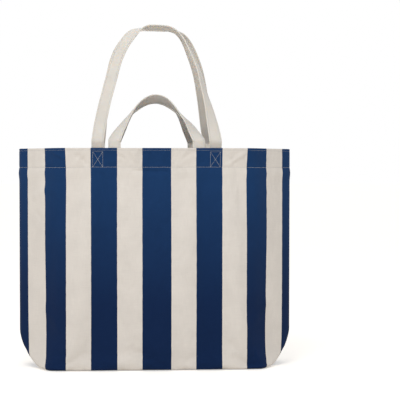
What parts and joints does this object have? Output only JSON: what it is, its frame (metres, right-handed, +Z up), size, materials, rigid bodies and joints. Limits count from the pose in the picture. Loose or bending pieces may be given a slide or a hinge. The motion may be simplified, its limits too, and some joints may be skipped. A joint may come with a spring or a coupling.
{
  "type": "canvas tote bag",
  "caption": "Open-topped striped canvas tote on a boxed flat base, with a stitched hem and a pair each of long and short strap handles that fold down outside the bag.",
  "frame": {"origin": "middle of the bag's base, on the surface it stands on", "axes": "+Z up, +X to the bag's right seen from its front, -Y towards the front"},
  "size_m": [0.5608, 0.193, 0.7005],
  "materials": {
    "striped_canvas": "matt woven canvas, navy stripes dyed on an ecru ground",
    "strap_canvas": "matt woven canvas, undyed off-white",
    "overlocked_edge": "canvas edge under looped overlock thread",
    "sewing_thread": "pale spun polyester thread"
  },
  "bodies": {
    "bag": {"front_panel": "striped_canvas", "back_panel": "striped_canvas", "base_seam": "overlocked_edge", "right_side_seam": "overlocked_edge", "left_side_seam": "overlocked_edge", "right_corner_seam": "overlocked_edge", "left_corner_seam": "overlocked_edge", "front_hem_lower_stitching": "sewing_thread", "front_hem_upper_stitching": "sewing_thread", "back_hem_lower_stitching": "sewing_thread", "back_hem_upper_stitching": "sewing_thread", "front_left_box_stitching": "sewing_thread", "front_right_box_stitching": "sewing_thread", "back_left_box_stitching": "sewing_thread", "back_right_box_stitching": "sewing_thread", "front_long_handle_left_end": "strap_canvas", "front_long_handle_right_end": "strap_canvas", "front_short_handle_left_end": "strap_canvas", "front_short_handle_right_end": "strap_canvas", "back_long_handle_left_end": "strap_canvas", "back_long_handle_right_end": "strap_canvas", "back_short_handle_left_end": "strap_canvas", "back_short_handle_right_end": "strap_canvas"},
    "front_long_handle": {"front_long_handle_loop": "strap_canvas"},
    "front_short_handle": {"front_short_handle_loop": "strap_canvas"},
    "back_long_handle": {"back_long_handle_loop": "strap_canvas"},
    "back_short_handle": {"back_short_handle_loop": "strap_canvas"}
  },
  "joints": [
    {"name": "front_long_handle_swing", "type": "hinge", "parent": "bag", "child": "front_long_handle", "pos_m": [0, -0.095, 0.461], "axis": [1, 0, 0], "range_deg": [0, 175]},
    {"name": "front_short_handle_swing", "type": "hinge", "parent": "bag", "child": "front_short_handle", "pos_m": [0, -0.095, 0.461], "axis": [1, 0, 0], "range_deg": [0, 175]},
    {"name": "back_long_handle_swing", "type": "hinge", "parent": "bag", "child": "back_long_handle", "pos_m": [0, 0.095, 0.461], "axis": [-1, 0, 0], "range_deg": [0, 175]},
    {"name": "back_short_handle_swing", "type": "hinge", "parent": "bag", "child": "back_short_handle", "pos_m": [0, 0.095, 0.461], "axis": [-1, 0, 0], "range_deg": [0, 175]}
  ]
}
